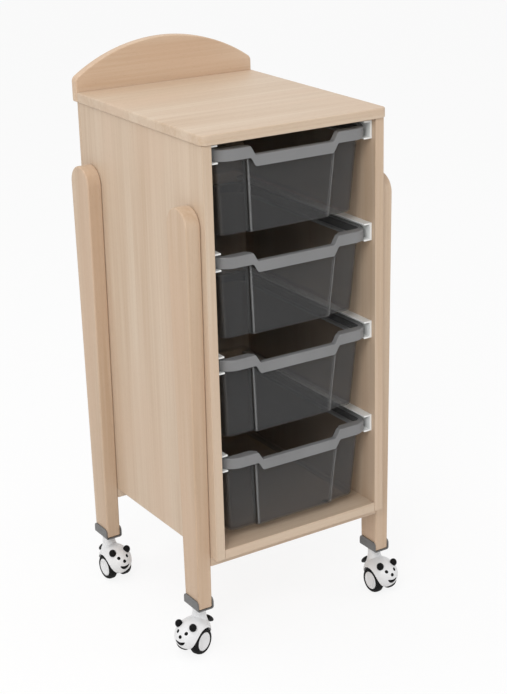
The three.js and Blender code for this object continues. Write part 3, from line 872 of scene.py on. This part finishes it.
carve(head, neck, "UNION")
cutters = (wells, pin_bore, pedal_slot, barrel_pocket)
for cutter in cutters:
    carve(head, cutter)
mould = head.modifiers.new("mould", "REMESH")
mould.mode = "VOXEL"
mould.voxel_size = mould_grain
smoothing = head.modifiers.new("smoothing", "SMOOTH")
smoothing.factor = mould_smoothing
smoothing.iterations = mould_rounds
head_mesh = carried_out(head)
head_mesh.materials.clear()
head_mesh.materials.append(castor_white)
head_mesh.polygons.foreach_set("use_smooth", [True] * len(head_mesh.polygons))
for spare in (head, neck, *cutters):
    bpy.data.objects.remove(spare)

# The face is set into the head: two small eyes, a nose and a broad smile, with a ball ear each side.
eye_turn = math.radians(21.3)
eye_height = 53.3 * mm
eye_half_width = 3.3 * mm
eye_half_height = 3.4 * mm
nose_height = 46.9 * mm
nose_half = 3.4 * mm
nose_proud = 0.7 * mm
smile_turn = math.radians(19)
smile_low = 33.6 * mm
smile_high = 37.6 * mm
smile_half_height = 3.9 * mm
smile_end = 0.02
mark_proud = 0.5 * mm
mark_steps = 24
ear_turn = math.radians(47)
ear_height = 59.7 * mm
ear_radius = 6.8 * mm
ear_stretch = 1.1
ear_stand = 1.08
ear_segments, ear_rings = 32, 20
head_heart = Vector((head_forward, 0, head_middle))


def on_head(turn, z, proud):
    """A point above the head's skin, at a turn from straight ahead and a height."""
    reach = head_reach(z)
    place = Vector((reach * math.cos(turn), head_squash * reach * math.sin(turn), z - head_middle))
    squashed = castor_head * head_squash
    out = Vector((place.x / castor_head**2, place.y / squashed**2, place.z / head_bow**2))
    return head_heart + place + proud * out.normalized()


def button(shape, turn, z, half_width, half_height, proud):
    """A domed oval set into the head."""
    step = 1e-4
    around = (on_head(turn + step, z, 0) - on_head(turn, z, 0)).length / step
    upward = (on_head(turn, z + step, 0) - on_head(turn, z, 0)).length / step
    section = [(0, 1), (0.4, 0.92), (0.7, 0.7), (0.9, 0.42), (1, 0), (1, -1), (0, -1)]
    loops = []
    for share, lift in section:
        loop = []
        for i in range(mark_steps if share else 1):
            angle = 2 * math.pi * i / mark_steps
            across_face = half_width * share * math.cos(angle) / around
            up_face = half_height * share * math.sin(angle) / upward
            loop.append(shape.verts.new(on_head(turn + across_face, z + up_face, proud * lift)))
        loops.append(loop)
    bridge(shape, loops)


def smile(shape, reach, low, high, half_height, proud):
    """A crescent that is thickest in the middle and curves up to both ends."""
    section = [(-1, -1), (-1, 0), (-0.6, 0.75), (0, 1), (0.6, 0.75), (1, 0), (1, -1)]
    loops = []
    for i in range(mark_steps + 1):
        share = -1 + 2 * i / mark_steps
        middle = low + (high - low) * share**2
        half = half_height * math.sqrt(max(smile_end, 1 - share**2))
        points = [on_head(reach * share, middle + half * v, proud * lift) for v, lift in section]
        loops.append([shape.verts.new(point) for point in points])
    bridge(shape, loops)
    shape.faces.new(loops[0])
    shape.faces.new(loops[-1])


face = bmesh.new()
for side in (-1, 1):
    button(face, side * eye_turn, eye_height, eye_half_width, eye_half_height, mark_proud)
    ball = {"u_segments": ear_segments, "v_segments": ear_rings, "radius": ear_radius}
    ear = bmesh.ops.create_uvsphere(face, **ball)["verts"]
    bmesh.ops.scale(face, vec=(1, 1, ear_stretch), verts=ear)
    skin_place = on_head(side * ear_turn, ear_height, 0) - head_heart
    bmesh.ops.translate(face, vec=head_heart + ear_stand * skin_place, verts=ear)
button(face, 0, nose_height, nose_half, nose_half, nose_proud)
smile(face, smile_turn, smile_low, smile_high, smile_half_height, mark_proud)

# The brake pedal is a plump black leaf that swells from its barrel and rounds off to a tip.
pedal = bmesh.new()
loops = []
for s, _ in quarter(leaf_steps):
    swell = min(1, s / leaf_swell_end)
    swell = swell**2 * (3 - 2 * swell)
    tip = math.sqrt(1 - max(0, (s - leaf_tip_start) / (1 - leaf_tip_start)) ** 2)
    plump = (pedal_root + (pedal_thickness / 2 - pedal_root) * swell) * tip
    wide = (pedal_half - running) * tip
    spine = pedal_pivot + pedal_length * s * pedal_along - pedal_rise * swell * pedal_under
    loop = []
    for i in range(leaf_sides if tip > 0 else 1):
        angle = 2 * math.pi * i / leaf_sides
        out = plump * math.sin(angle) * pedal_under + Vector((0, wide * math.cos(angle), 0))
        loop.append(pedal.verts.new(spine + out))
    loops.append(loop)
pedal.faces.new(loops[0])
bridge(pedal, loops)
barrel = drum(pedal, pedal_barrel, -pedal_half, pedal_half, leaf_sides)
across(pedal, barrel, 1, pedal_pivot)

# A wheel: a pale hub with a shallow dish and a raised rim, and a soft tyre tapering out to it. The hub's
# face is a run of radii and depths below the wheel's outer side, in millimetres.
hub_face = ((0, 1.3), (3, 1.3), (12.9, 0.7), (13.7, 0.15), (14.4, 0), (15.9, 0.25), (17.1, 0.9))
hub_edge = 1.6 * mm
tyre_seat = 0.2 * mm
tyre_shoulder = 3 * mm
tyre_shoulder_steps = 5
tyre_taper_steps = 12
tyre_lip = 1.5 * mm
tyre_lip_flat = 0.5 * mm
tyre_lip_fall = 0.1 * mm
tyre_lip_edge = 0.6 * mm
tread_end = 16 * mm
wheel_sharp = math.radians(40)

hub = bmesh.new()
hub_bore = axle_radius + running
bore_end = axle_half + running
profile = [(radius * mm, wheel_outer - depth * mm) for radius, depth in hub_face]
profile += [(hub_radius, wheel_outer - hub_edge), (hub_radius, wheel_inner)]
profile += [(hub_bore, wheel_inner), (hub_bore, bore_end), (0, bore_end)]
turned(hub, profile, turn_steps)

tyre = bmesh.new()
tyre_bore = hub_radius + tyre_seat
tyre_edge = tyre_bore + tyre_lip
profile = [(tyre_bore, wheel_inner)]
for s, c in quarter(tyre_shoulder_steps):
    profile.append((wheel_radius - tyre_shoulder * (1 - s), wheel_inner + tyre_shoulder * (1 - c)))
for s, c in quarter(tyre_taper_steps):
    profile.append((tyre_edge + (wheel_radius - tyre_edge) * c, tread_end + (wheel_outer - tread_end) * s))
profile.append((tyre_bore + tyre_lip_flat, wheel_outer - tyre_lip_fall))
profile.append((tyre_bore, wheel_outer - tyre_lip_edge))
turned(tyre, profile, turn_steps, closed=True)

# Each castor stands at the heading that its wheels' axis has in the frame.
joints = {joint["name"]: joint for joint in frame["joints"]}
for corner in corners:
    swivel = joints[f"castor_{corner}_swivel"]["pos_m"]
    sideways = Vector(joints[f"wheel_{corner}_left_spin"]["axis"])
    ahead = Vector((sideways.y, -sideways.x, 0))
    stance = Matrix((ahead, sideways, Vector((0, 0, 1)))).transposed().to_4x4()
    stance = Matrix.Translation((swivel[0], swivel[1], 0)) @ stance

    mesh = head_mesh.copy()
    mesh.transform(stance)
    piece = put(f"panda_head_{corner}", mesh)
    dress(piece, f"castor_{corner}", "castor_white", f"castor_hood_{corner}")

    marks = face.copy()
    bmesh.ops.transform(marks, matrix=stance, verts=marks.verts)
    piece = make_piece(f"panda_face_{corner}", marks, castor_black)
    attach(piece, f"castor_{corner}")

    tongue = pedal.copy()
    bmesh.ops.transform(tongue, matrix=stance, verts=tongue.verts)
    piece = make_piece(f"pedal_tongue_{corner}", tongue, castor_black)
    ease_edges(piece, pedal_ease)
    dress(piece, f"brake_{corner}", "castor_black", f"brake_pedal_{corner}")

    for hand, side in (("left", 1), ("right", -1)):
        for name, form, finish, slot, node in (
            ("wheel_disc", hub, castor_white, "castor_white", "wheel_hub"),
            ("soft_tyre", tyre, tyre_rubber, "tyre_black", "tyre"),
        ):
            ring = form.copy()
            across(ring, ring.verts, side, axle)
            bmesh.ops.transform(ring, matrix=stance, verts=ring.verts)
            piece = make_piece(f"{name}_{corner}_{hand}", ring, finish)
            piece.data.set_sharp_from_angle(angle=wheel_sharp)
            dress(piece, f"wheel_{corner}_{hand}", slot, f"{node}_{corner}_{hand}")

    for node in (f"castor_stem_{corner}", f"castor_axle_{corner}"):
        steel = frame["nodes"][node].data.materials
        steel.clear()
        steel.append(zinc_steel)
for form in (face, pedal, hub, tyre):
    form.free()
bpy.data.meshes.remove(head_mesh)

# Studio: a pale floor that keeps the unit's shadow, a white surround, and three soft lamps that add a
# little shape to the light from all round.
floor_size = 30
floor_glow = 0.86
sky_strength = 0.7
lamp_aim = Vector((0, 0, 0.5))


def seen(shade):
    """Is 1 where the studio is looked at, also in a reflection or through a tray, and 0 where it lights."""
    total = shade.node("ShaderNodeLightPath", {}, {}, "Is Camera Ray")
    for ray in ("Is Glossy Ray", "Is Transmission Ray"):
        total = total + shade.node("ShaderNodeLightPath", {}, {}, ray)
    return total


floor_finish, ground = new_finish("studio_floor")
pale = ground.node("ShaderNodeBsdfDiffuse", {}, {"Color": (0.9, 0.9, 0.9, 1)})
glow = ground.node("ShaderNodeEmission", {}, {"Color": (1, 1, 1, 1), "Strength": 1.0})
mixed = ground.node("ShaderNodeMixShader", {}, {0: seen(ground) * floor_glow, 1: pale, 2: glow})
ground.node("ShaderNodeOutputMaterial", {}, {"Surface": mixed})
shape = bmesh.new()
bmesh.ops.create_grid(shape, x_segments=1, y_segments=1, size=floor_size)
make_piece("studio_floor", shape, floor_finish)

world = bpy.data.worlds.new("studio")
scene.world = world
world.use_nodes = True
world.node_tree.nodes.clear()
sky = Shade(world.node_tree)
surround = sky.node("ShaderNodeBackground", {}, {"Color": (1, 1, 1, 1), "Strength": sky_strength})
backdrop = sky.node("ShaderNodeBackground", {}, {"Color": (1, 1, 1, 1), "Strength": 1.0})
mixed = sky.node("ShaderNodeMixShader", {}, {0: seen(sky), 1: surround, 2: backdrop})
sky.node("ShaderNodeOutputWorld", {}, {"Surface": mixed})

for name, place, size, power in (
    ("key", (-2.35, -2.15, 2.75), 1.8, 52),
    ("fill", (2.6, -2.0, 1.7), 1.6, 11),
    ("top", (-0.8, 0.4, 3.4), 2.0, 21),
):
    lamp = bpy.data.lights.new(name, "AREA")
    lamp.shape = "DISK"
    lamp.size = size
    lamp.energy = power
    stand = put(name, lamp)
    aim = lamp_aim - Vector(place)
    stand.matrix_world = Matrix.Translation(place) @ aim.to_track_quat("-Z", "Y").to_matrix().to_4x4()

scene.view_settings.view_transform = "Standard"
